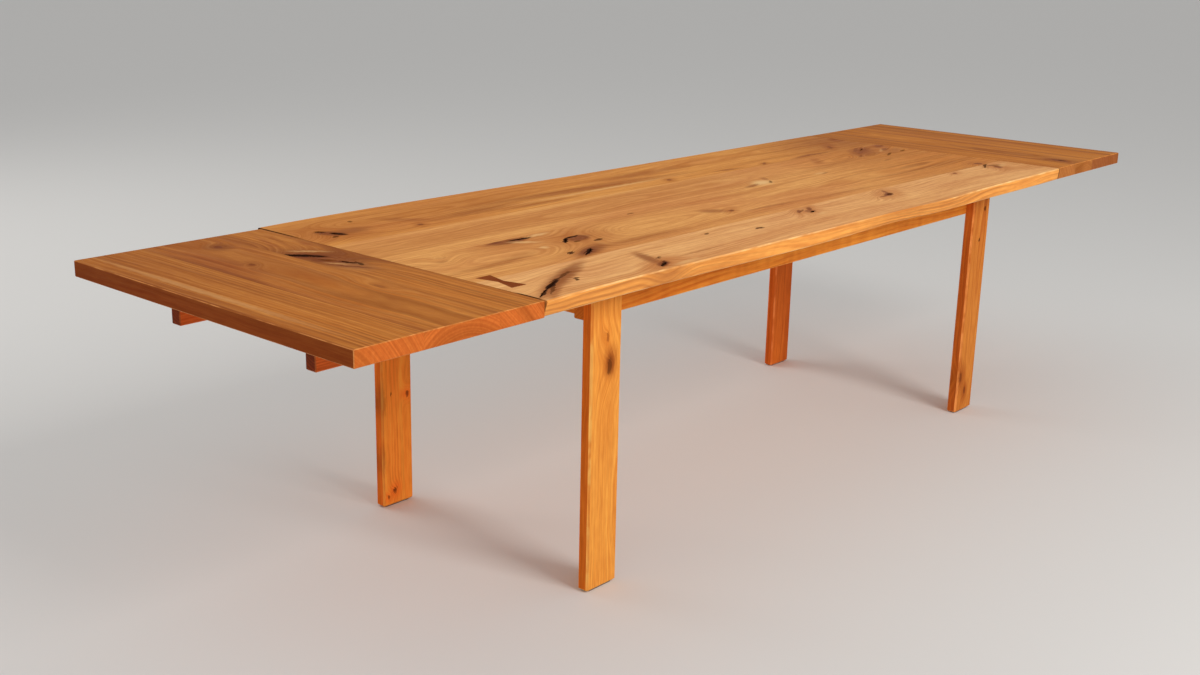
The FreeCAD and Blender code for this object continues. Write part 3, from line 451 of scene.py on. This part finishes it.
# Each board has its shades, its rings' centre and its marks, which are placed as they are seen.
TOP_BOARDS = {
    "top_front_board": (FRONT_SHADES, (-0.22, BELOW - 0.08), (
        ("knot", -1.030, -0.368, 0.060, 0.020, 28, 0.35), ("stain", -1.020, -0.365, 0.190, 0.034, 28, 0.75),
        ("stain", -0.950, -0.330, 0.130, 0.030, 28, 0.7), ("red", -1.100, -0.412, 0.110, 0.026, 29, 0.6),
        ("shake", -1.066, -0.384, 0.070, 0.009, 27, 1.0), ("shake", -1.128, -0.420, 0.058, 0.006, 34, 0.9),
        ("crack", -1.090, -0.408, 0.060, 0.006, 40, 0.6), ("crack", -0.990, -0.346, 0.050, 0.006, 24, 0.6),
        ("crack", -1.036, -0.366, 0.040, 0.007, 26, 0.8), ("dark", -1.120, -0.444, 0.080, 0.014, 34, 0.5),
        ("crack", -0.995, -0.390, 0.012, 0.006, 30, 0.9), ("crack", -0.988, -0.380, 0.008, 0.005, 0, 0.8),
        ("knot", -0.753, -0.424, 0.044, 0.020, 25, 0.9), ("stain", -0.738, -0.365, 0.090, 0.026, 68, 0.8),
        ("shake", -0.758, -0.428, 0.034, 0.008, 28, 0.9), ("crack", -0.715, -0.380, 0.014, 0.006, 30, 0.8),
        ("red", -0.750, -0.420, 0.070, 0.030, 25, 0.6), ("crack", -0.738, -0.415, 0.016, 0.006, 60, 0.7),
        ("dark", -0.600, -0.404, 0.150, 0.010, 0, 0.5), ("pale", -0.700, -0.446, 0.070, 0.012, 3, 0.5),
        ("crack", -0.435, -0.300, 0.014, 0.007, 20, 0.7), ("crack", -0.285, -0.348, 0.020, 0.009, 5, 0.9),
        ("knot", -0.012, -0.314, 0.034, 0.020, 20, 0.6), ("shake", -0.012, -0.322, 0.020, 0.010, 20, 0.9),
        ("knot", -0.038, -0.298, 0.034, 0.010, 35, 0.8), ("knot", 0.014, -0.294, 0.034, 0.010, 40, 0.8),
        ("crack", -0.022, -0.296, 0.024, 0.005, 25, 0.5), ("pale", -0.012, -0.350, 0.040, 0.014, 10, 0.5),
        ("knot", 0.362, -0.328, 0.040, 0.020, 25, 0.9), ("knot", 0.330, -0.334, 0.040, 0.010, 5, 0.7),
        ("knot", 0.386, -0.302, 0.034, 0.011, 53, 0.7), ("crack", 0.366, -0.330, 0.026, 0.009, 25, 0.6),
        ("crack", 1.030, -0.280, 0.060, 0.008, 28, 0.8), ("knot", 1.042, -0.318, 0.034, 0.020, 50, 0.8),
        ("red", 1.040, -0.290, 0.070, 0.036, 0, 0.4), ("pale", 1.090, -0.310, 0.060, 0.016, 20, 0.4),
        ("crack", 1.065, -0.296, 0.050, 0.006, -24, 0.6), ("knot", 0.825, -0.285, 0.022, 0.010, 20, 0.7),
        ("gold", 1.260, -0.300, 0.300, 0.260, 0, 0.5), ("seam", 1.164, -0.476, 0.007, 0.020, 0, 0.9),
        ("seam", -1.164, -0.415, 0.003, 0.048, 0, 0.95))),
    "top_second_board": (TOP_SHADES, (-0.13, BELOW), (
        ("gold", 1.150, -0.140, 0.950, 0.400, 0, 0.9),
        ("knot", -0.836, -0.040, 0.080, 0.030, 0, 0.7), ("stain", -0.850, -0.035, 0.090, 0.028, 0, 0.8),
        ("shake", -0.806, -0.038, 0.060, 0.010, -4, 1.0), ("knot", -0.880, -0.030, 0.040, 0.011, 5, 0.7),
        ("pale", -0.820, -0.068, 0.056, 0.016, -40, 0.7), ("pale", -0.740, -0.033, 0.056, 0.014, 5, 0.7),
        ("knot", -0.695, -0.122, 0.062, 0.036, 10, 0.8), ("shake", -0.739, -0.121, 0.044, 0.009, 42, 1.0),
        ("shake", -0.700, -0.103, 0.044, 0.008, 6, 0.9), ("crack", -0.671, -0.165, 0.022, 0.008, 5, 0.8),
        ("crack", -0.725, -0.145, 0.014, 0.008, 0, 0.7), ("pale", -0.830, -0.136, 0.022, 0.016, 0, 0.7),
        ("stain", -0.770, -0.228, 0.110, 0.036, 22, 0.9), ("knot", -0.782, -0.230, 0.066, 0.024, 28, 0.6),
        ("shake", -0.785, -0.234, 0.060, 0.009, 33, 1.0),
        ("crack", -0.824, -0.215, 0.018, 0.010, 30, 0.9), ("dark", -0.600, -0.222, 0.240, 0.026, 0, 0.6),
        ("dark", -0.930, -0.160, 0.120, 0.030, 12, 0.4), ("dark", -1.040, -0.180, 0.160, 0.022, 0, 0.5),
        ("knot", -1.090, -0.085, 0.028, 0.018, 0, 0.15), ("knot", -1.070, -0.055, 0.020, 0.012, 0, 0.15),
        ("stain", -0.200, -0.140, 0.060, 0.034, -35, 0.6), ("knot", -0.158, -0.169, 0.022, 0.010, 30, 0.8),
        ("dark", -0.020, -0.204, 0.180, 0.014, -3, 0.5), ("knot", 1.055, -0.245, 0.026, 0.018, 0, 0.8),
        ("dark", 0.850, -0.170, 0.380, 0.022, 0, 0.35),
        ("dark", 0.300, -0.225, 0.260, 0.018, 0, 0.35))),
    "top_third_board": (TOP_SHADES, (0.10, BELOW), (
        ("gold", 1.150, 0.090, 0.900, 0.400, 0, 0.9),
        ("knot", 0.245, 0.020, 0.030, 0.016, 0, 0.15), ("pale", 0.245, 0.020, 0.070, 0.040, 10, 1.0),
        ("stain", 0.184, 0.008, 0.056, 0.018, 10, 0.7), ("crack", 0.278, 0.012, 0.026, 0.006, 40, 0.7),
        ("stain", 0.305, 0.052, 0.036, 0.016, 50, 0.5), ("crack", -0.385, -0.018, 0.020, 0.005, 10, 0.6),
        ("pale", 0.510, -0.004, 0.050, 0.014, 0, 0.5), ("dark", 0.525, -0.012, 0.030, 0.008, 10, 0.7),
        ("knot", 1.020, 0.160, 0.050, 0.022, 24, 0.4), ("knot", 1.145, 0.170, 0.050, 0.018, 24, 0.5),
        ("stain", 0.980, 0.115, 0.130, 0.060, 20, 0.4), ("shake", 1.022, 0.163, 0.040, 0.005, 24, 0.3),
        ("red", 1.000, 0.150, 0.150, 0.056, 24, 0.9), ("red", 1.140, 0.165, 0.090, 0.044, 28, 0.9),
        ("stain", 1.080, 0.080, 0.120, 0.040, 15, 0.4), ("knot", 1.090, 0.115, 0.050, 0.014, 20, 0.6),
        ("crack", 1.010, 0.050, 0.044, 0.006, 24, 0.6), ("crack", 1.115, 0.060, 0.034, 0.006, 15, 0.6),
        ("red", 0.700, 0.130, 0.100, 0.030, 40, 0.4), ("dark", 0.900, -0.010, 0.050, 0.010, 10, 0.5),
        ("dark", 0.700, 0.060, 0.300, 0.030, 5, 0.4),
        ("knot", 1.000, 0.172, 0.070, 0.010, 30, 0.5), ("knot", 0.965, 0.130, 0.060, 0.010, 22, 0.4),
        ("pale", 1.060, 0.110, 0.050, 0.010, 30, 0.4), ("knot", 0.900, 0.090, 0.040, 0.010, 30, 0.5))),
    "top_back_board": (BACK_SHADES, (0.36, BELOW), (
        ("knot", -1.082, 0.304, 0.060, 0.034, -62, 0.8), ("stain", -1.030, 0.300, 0.090, 0.040, 0, 0.6),
        ("shake", -1.071, 0.290, 0.036, 0.015, -64, 1.0), ("crack", -1.091, 0.334, 0.018, 0.012, -60, 0.8),
        ("crack", -1.096, 0.270, 0.014, 0.008, 30, 0.7), ("knot", -0.860, 0.242, 0.016, 0.010, 50, 0.8),
        ("crack", -0.962, 0.382, 0.012, 0.006, 40, 0.7), ("dark", -0.850, 0.310, 0.120, 0.036, -48, 0.6),
        ("dark", -0.640, 0.272, 0.240, 0.042, 2, 0.7), ("dark", -0.220, 0.298, 0.600, 0.044, -3, 0.8),
        ("dark", -0.450, 0.234, 0.220, 0.024, 0, 0.6), ("pale", -0.180, 0.260, 0.480, 0.014, 0, 0.5),
        ("dark", 0.080, 0.350, 0.300, 0.050, 0, 0.6), ("knot", 0.080, 0.228, 0.020, 0.011, 35, 0.7),
        ("dark", 0.350, 0.220, 0.090, 0.014, -6, 0.8), ("knot", 0.535, 0.214, 0.024, 0.009, 35, 0.6),
        ("dark", 0.820, 0.212, 0.140, 0.014, 0, 0.9), ("red", 1.000, 0.275, 0.120, 0.034, 40, 0.7),
        ("knot", 0.985, 0.262, 0.050, 0.012, 42, 0.6), ("red", 0.760, 0.214, 0.120, 0.018, 8, 0.6),
        ("red", 1.150, 0.345, 0.090, 0.040, 50, 0.7), ("dark", 1.200, 0.330, 0.640, 0.300, 0, 0.75),
        ("seam", -1.164, 0.420, 0.003, 0.150, 0, 0.95))),
}


# An open shake's sliver, in shares of its mark's half length and half width: how long and wide it stands
# open, how far it sways, how it tapers, how ragged its sides are, and how narrow and deep its floor is.
# The cut starts just above the face, corners closer than WELD are one, and softer corners are shaded round.
SLIVER_STATIONS = 15
SLIVER_LENGTH = 0.62
SLIVER_WIDTH = 0.5
SLIVER_SWAY = 0.15
SLIVER_BENDS = 2.6
FULL_SWING = 6.0
SLIVER_TAPER = 0.6
SLIVER_RAGGED = (0.6, 1.0)
SLIVER_FLOOR = 0.45
SLIVER_DEPTH = 0.5
SLIVER_LEAST_DEPTH = 0.001
ABOVE_FACE = 0.002
WELD = 0.00001
SHARP_ANGLE = math.radians(25)


def open_shakes(name, body, material, grain, marks):
    """A board with its shakes open: a copy of the node with a ragged, tapering sliver cut out at each."""
    draws = random.Random(name)
    merged = bmesh.new()
    merged.from_mesh(nodes[name].data)
    bmesh.ops.remove_doubles(merged, verts=merged.verts, dist=WELD)
    board_mesh = bpy.data.meshes.new(name + "_opened")
    merged.to_mesh(board_mesh)
    merged.free()
    if "custom_normal" in board_mesh.attributes:
        board_mesh.attributes.remove(board_mesh.attributes["custom_normal"])
    board = bpy.data.objects.new(name + "_opened", board_mesh)
    bpy.context.scene.collection.objects.link(board)
    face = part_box(name)[1].z
    cutters = []
    for kind, place, across, half_length, half_width, turn, strength in marks:
        if kind != "shake":
            continue
        lean = math.radians(turn)
        swing = draws.uniform(0.0, FULL_SWING)
        half_way = (SLIVER_STATIONS + 1) / 2
        stations = [number / half_way - 1 for number in range(1, SLIVER_STATIONS + 1)]
        sides = []
        for station in stations:
            run = SLIVER_LENGTH * half_length * station
            middle = SLIVER_SWAY * half_width * math.sin(SLIVER_BENDS * station + swing)
            reach = SLIVER_WIDTH * half_width * (1 - station ** 2) ** SLIVER_TAPER
            upper = middle + reach * draws.uniform(*SLIVER_RAGGED)
            lower = middle - reach * draws.uniform(*SLIVER_RAGGED)
            sides.append((run, upper, lower, middle))
        outline = [(run, upper, middle) for run, upper, lower, middle in sides]
        outline += [(run, lower, middle) for run, upper, lower, middle in reversed(sides)]
        floor_height = face - SLIVER_DEPTH * half_width - SLIVER_LEAST_DEPTH
        cutter = bmesh.new()
        rings = []
        for height, narrow in ((face + ABOVE_FACE, 1.0), (floor_height, SLIVER_FLOOR)):
            ring = []
            for run, side, middle in outline:
                shift = middle + (side - middle) * narrow
                point = [place + run * math.cos(lean) - shift * math.sin(lean),
                         across + run * math.sin(lean) + shift * math.cos(lean)]
                if grain[0] == "Y":
                    point.reverse()
                ring.append(cutter.verts.new((point[0], point[1], height)))
            rings.append(ring)
        for number in range(len(outline)):
            after = (number + 1) % len(outline)
            cutter.faces.new((rings[0][number], rings[0][after], rings[1][after], rings[1][number]))
        cutter.faces.new(rings[0])
        cutter.faces.new(rings[1])
        bmesh.ops.recalc_face_normals(cutter, faces=cutter.faces)
        cutter_mesh = bpy.data.meshes.new(name + "_sliver")
        cutter.to_mesh(cutter_mesh)
        cutter.free()
        sliver = bpy.data.objects.new(name + "_sliver", cutter_mesh)
        bpy.context.scene.collection.objects.link(sliver)
        cutters.append(sliver)
        cut = board.modifiers.new("sliver", "BOOLEAN")
        cut.object = sliver
        cut.operation = "DIFFERENCE"
        cut.solver = "EXACT"
    settled = board.evaluated_get(bpy.context.evaluated_depsgraph_get())
    opened_mesh = bpy.data.meshes.new_from_object(settled)
    board.modifiers.clear()
    board.data = opened_mesh
    bpy.data.meshes.remove(board_mesh)
    for sliver in cutters:
        bpy.data.meshes.remove(sliver.data)
    opened_mesh.materials.clear()
    opened_mesh.materials.append(material)
    for polygon in opened_mesh.polygons:
        polygon.use_smooth = True
        polygon.material_index = 0
    opened_mesh.set_sharp_from_angle(angle=SHARP_ANGLE)
    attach(board, body)
    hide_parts(name)


for number, (name, (shades, pith, marks)) in enumerate(TOP_BOARDS.items()):
    board_wood = wood(
        name + "_wood", "XYZ", shades, pith, 6.1 * number, contrast=0.65, bands=0.5, band_width=0.04,
        warp=0.07, edge=TOP_EDGE, edge_lines=0.75, marks=marks)
    dress([name], board_wood)
    open_shakes(name, "table", board_wood, "XYZ", marks)


# Butterfly key: a key of dark hardwood with flared ends, its grain across the joint. It is let into a
# recess over the front glue line, glued and planed flush with the top.

KEY_SHADES = (tone(136, 64, 16), tone(110, 48, 12), tone(90, 38, 9), tone(102, 43, 10))
KEY_HEART = (-1.1, 0.6)
dress(["butterfly_key"], wood(
    "key_wood", "YXZ", KEY_SHADES, KEY_HEART, 0.3, ring=0.004, roughness=0.6))


# Leaves: three boards of redder wood each, glued edge to edge with the grain across the table, and oiled
# as the top is. They lie on the bearers and are drawn up to the ends of the top on two turned dowels.

LEFT_LEAF_SHADES = (tone(193, 121, 50), tone(160, 90, 32), tone(134, 70, 24), tone(145, 71, 26))
RIGHT_LEAF_SHADES = (tone(201, 126, 45), tone(176, 103, 34), tone(152, 84, 26), tone(162, 84, 28))
# Each leaf's second edge tone, on the faces that look to the ends, is painted shade, as those faces turn
# away from the light.
LEAF_EDGES_WITH_SHADED_ENDS = (tone(214, 112, 48), tone(150, 70, 25))
FAR_LEAF_EDGES_WITH_SHADED_ENDS = (tone(190, 118, 58), tone(150, 70, 25))
DARK_LEAF_EDGES_WITH_SHADED_ENDS = (tone(164, 94, 48), tone(150, 70, 25))
# On the left leaf the broad gold tints at the front and the broad dark and red ones at the back are partly
# the wood's tone and partly painted light: each board is lighter at the front, where the light falls, and
# darker towards the back.
LEAF_BOARDS = {
    "left_leaf_inner_board": (LEFT_LEAF_SHADES, (
        ("knot", 0.160, -1.266, 0.080, 0.032, -38, 0.8), ("red", 0.150, -1.262, 0.120, 0.044, -38, 0.6),
        ("shake", 0.165, -1.268, 0.086, 0.016, -38, 1.0), ("knot", 0.104, -1.266, 0.036, 0.024, -20, 0.8),
        ("crack", 0.094, -1.256, 0.028, 0.009, -30, 0.8), ("pale", 0.020, -1.250, 0.080, 0.044, 0, 0.15),
        ("stain", 0.050, -1.250, 0.110, 0.044, -10, 0.5),
        ("knot", 0.018, -1.256, 0.050, 0.008, -30, 0.7), ("knot", -0.006, -1.244, 0.040, 0.006, -24, 0.6),
        ("knot", 0.076, -1.250, 0.046, 0.008, -36, 0.7), ("knot", 0.040, -1.268, 0.046, 0.007, -26, 0.7),
        ("pale", 0.190, -1.232, 0.070, 0.012, -44, 0.5), ("pale", 0.060, -1.262, 0.040, 0.008, -30, 0.4),
        ("pale", 0.036, -1.236, 0.034, 0.007, -40, 0.4), ("knot", 0.120, -1.244, 0.040, 0.010, -50, 0.6),
        ("gold", -0.380, -1.230, 0.560, 0.150, 0, 0.8),
        ("knot", 0.050, -1.238, 0.040, 0.014, -15, 0.7), ("shake", 0.050, -1.236, 0.034, 0.008, -18, 0.8),
        ("crack", 0.024, -1.226, 0.024, 0.007, 10, 0.8), ("dark", 0.330, -1.215, 0.150, 0.012, 13, 0.6),
        ("red", 0.320, -1.245, 0.130, 0.012, 14, 0.5), ("dark", 0.375, -1.275, 0.120, 0.012, 10, 0.5),
        ("red", 0.260, -1.190, 0.060, 0.016, 5, 0.6), ("seam", 0.420, -1.165, 0.150, 0.003, 0, 0.95),
        ("seam", -0.415, -1.165, 0.048, 0.003, 0, 0.95))),
    "left_leaf_middle_board": (LEFT_LEAF_SHADES, (
        ("knot", 0.360, -1.350, 0.018, 0.014, 0, 0.9), ("knot", 0.170, -1.395, 0.016, 0.009, 20, 0.6),
        ("red", 0.250, -1.440, 0.320, 0.060, 0, 0.6), ("gold", -0.280, -1.390, 0.520, 0.140, 0, 0.85),
        ("knot", -0.150, -1.325, 0.040, 0.010, 0, 0.25), ("red", 0.100, -1.470, 0.400, 0.012, 0, 0.4))),
    "left_leaf_outer_board": (LEFT_LEAF_SHADES, (
        ("pale", 0.050, -1.598, 0.600, 0.014, 0, 0.3), ("gold", -0.400, -1.550, 0.520, 0.140, 0, 0.7),
        ("dark", 0.300, -1.570, 0.400, 0.110, 0, 0.5))),
    "right_leaf_inner_board": (RIGHT_LEAF_SHADES, ()),
    "right_leaf_middle_board": (RIGHT_LEAF_SHADES, (
        ("red", -0.385, 1.320, 0.070, 0.034, 0, 0.7), ("knot", -0.395, 1.320, 0.046, 0.022, 0, 0.9),
        ("shake", -0.402, 1.322, 0.024, 0.007, 10, 0.5),
        ("dark", -0.085, 1.350, 0.050, 0.024, 50, 0.4))),
    "right_leaf_outer_board": (RIGHT_LEAF_SHADES, ()),
}
for number, (name, (shades, marks)) in enumerate(LEAF_BOARDS.items()):
    low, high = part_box(name)
    heart = (low.x - 0.2, low.z - 0.2)
    if "middle" in name:
        heart = ((low.x + high.x) / 2, low.z - 0.10)
    edge = FAR_LEAF_EDGES_WITH_SHADED_ENDS if "right" in name else LEAF_EDGES_WITH_SHADED_ENDS
    edge = DARK_LEAF_EDGES_WITH_SHADED_ENDS if name == "right_leaf_outer_board" else edge
    board_wood = wood(
        name + "_wood", "YXZ", shades, heart, 5.3 * number + 1, ring=0.011, contrast=0.95, bands=0.7,
        band_width=0.035, warp=0.04, edge=edge, edge_lines=0.12, marks=marks)
    dress([name], board_wood)
    if any(mark[0] == "shake" for mark in marks):
        open_shakes(name, name.split("_")[0] + "_leaf", board_wood, "YXZ", marks)
for side in ("left", "right"):
    dress([side + "_leaf_dowels"], wood(
        side + "_dowel_wood", "XYZ", PEG_SHADES, PEG_HEART, 0.5, ring=0.003))


# Floor: one wide pale matt sheet, so that the table stands on plain ground. It is no part of the table,
# and only takes its shadow.

FLOOR_HALF = 80.0
floor_mesh = bpy.data.meshes.new("floor")
floor_mesh.from_pydata(
    [(-FLOOR_HALF, -FLOOR_HALF, 0), (FLOOR_HALF, -FLOOR_HALF, 0), (FLOOR_HALF, FLOOR_HALF, 0),
     (-FLOOR_HALF, FLOOR_HALF, 0)], [], [(0, 1, 2, 3)])
floor = bpy.data.objects.new("floor", floor_mesh)
bpy.context.scene.collection.objects.link(floor)
floor_finish = Finish("pale_floor")
floor_finish.shader.inputs["Base Color"].default_value = tone(222, 224, 226)
floor_finish.shader.inputs["Roughness"].default_value = 0.9
floor_mesh.materials.append(floor_finish.material)


# Light: a soft pale room, a large lamp in front of the table, and a weaker and larger one behind it.
# Both lamps are a little warm, and weak enough that a colour looks about as it is written.

ROOM_COLOUR = (1.0, 0.97, 0.93, 1.0)
ROOM_STRENGTH = 0.55
LAMP_COLOUR = (1.0, 0.95, 0.88)
world = bpy.data.worlds.new("studio")
world.use_nodes = True
world.node_tree.nodes["Background"].inputs[0].default_value = ROOM_COLOUR
world.node_tree.nodes["Background"].inputs[1].default_value = ROOM_STRENGTH
bpy.context.scene.world = world


def soft_lamp(name, place, aim, size, power):
    """A large square lamp at a place, turned towards a point, that isn't seen itself."""
    lamp = bpy.data.lights.new(name, "AREA")
    lamp.size = size
    lamp.energy = power
    lamp.color = LAMP_COLOUR
    holder = bpy.data.objects.new(name, lamp)
    holder.location = place
    holder.rotation_euler = (Vector(aim) - Vector(place)).to_track_quat("-Z", "Y").to_euler()
    holder.visible_camera = False
    holder.visible_glossy = False
    bpy.context.scene.collection.objects.link(holder)


soft_lamp("front_lamp", (-0.5, -5.4, 3.9), (-0.2, 0.0, 0.5), 2.4, 200.0)
soft_lamp("back_lamp", (-1.8, 5.1, 3.9), (0.0, 0.0, 0.7), 3.3, 74.0)


# Camera: at the photograph's place and angle, above the left end and to the front of the table, with its
# focal length in pixels of a 1200 wide frame. The angles are in radians.

FRAME_WIDTH = 1200
FOCAL_PIXELS = 1425.2
CAMERA_PLACE = (-3.1163, -2.3010, 1.4562)
YAW = 0.85493
PITCH = 0.28293
ROLL = 0.02186
forward = Vector((math.sin(YAW) * math.cos(PITCH), math.cos(YAW) * math.cos(PITCH), -math.sin(PITCH)))
level = Vector((math.cos(YAW), -math.sin(YAW), 0.0))
upright = level.cross(forward)
right = math.cos(ROLL) * level + math.sin(ROLL) * upright
up = math.cos(ROLL) * upright - math.sin(ROLL) * level
camera_data = bpy.data.cameras.new("camera")
camera_data.sensor_fit = "HORIZONTAL"
camera_data.lens = FOCAL_PIXELS / FRAME_WIDTH * camera_data.sensor_width
camera = bpy.data.objects.new("camera", camera_data)
facing = Matrix((right, up, -forward)).transposed().to_4x4()
camera.matrix_world = Matrix.Translation(CAMERA_PLACE) @ facing
bpy.context.scene.collection.objects.link(camera)
bpy.context.scene.camera = camera
bpy.context.scene.view_settings.view_transform = "Standard"
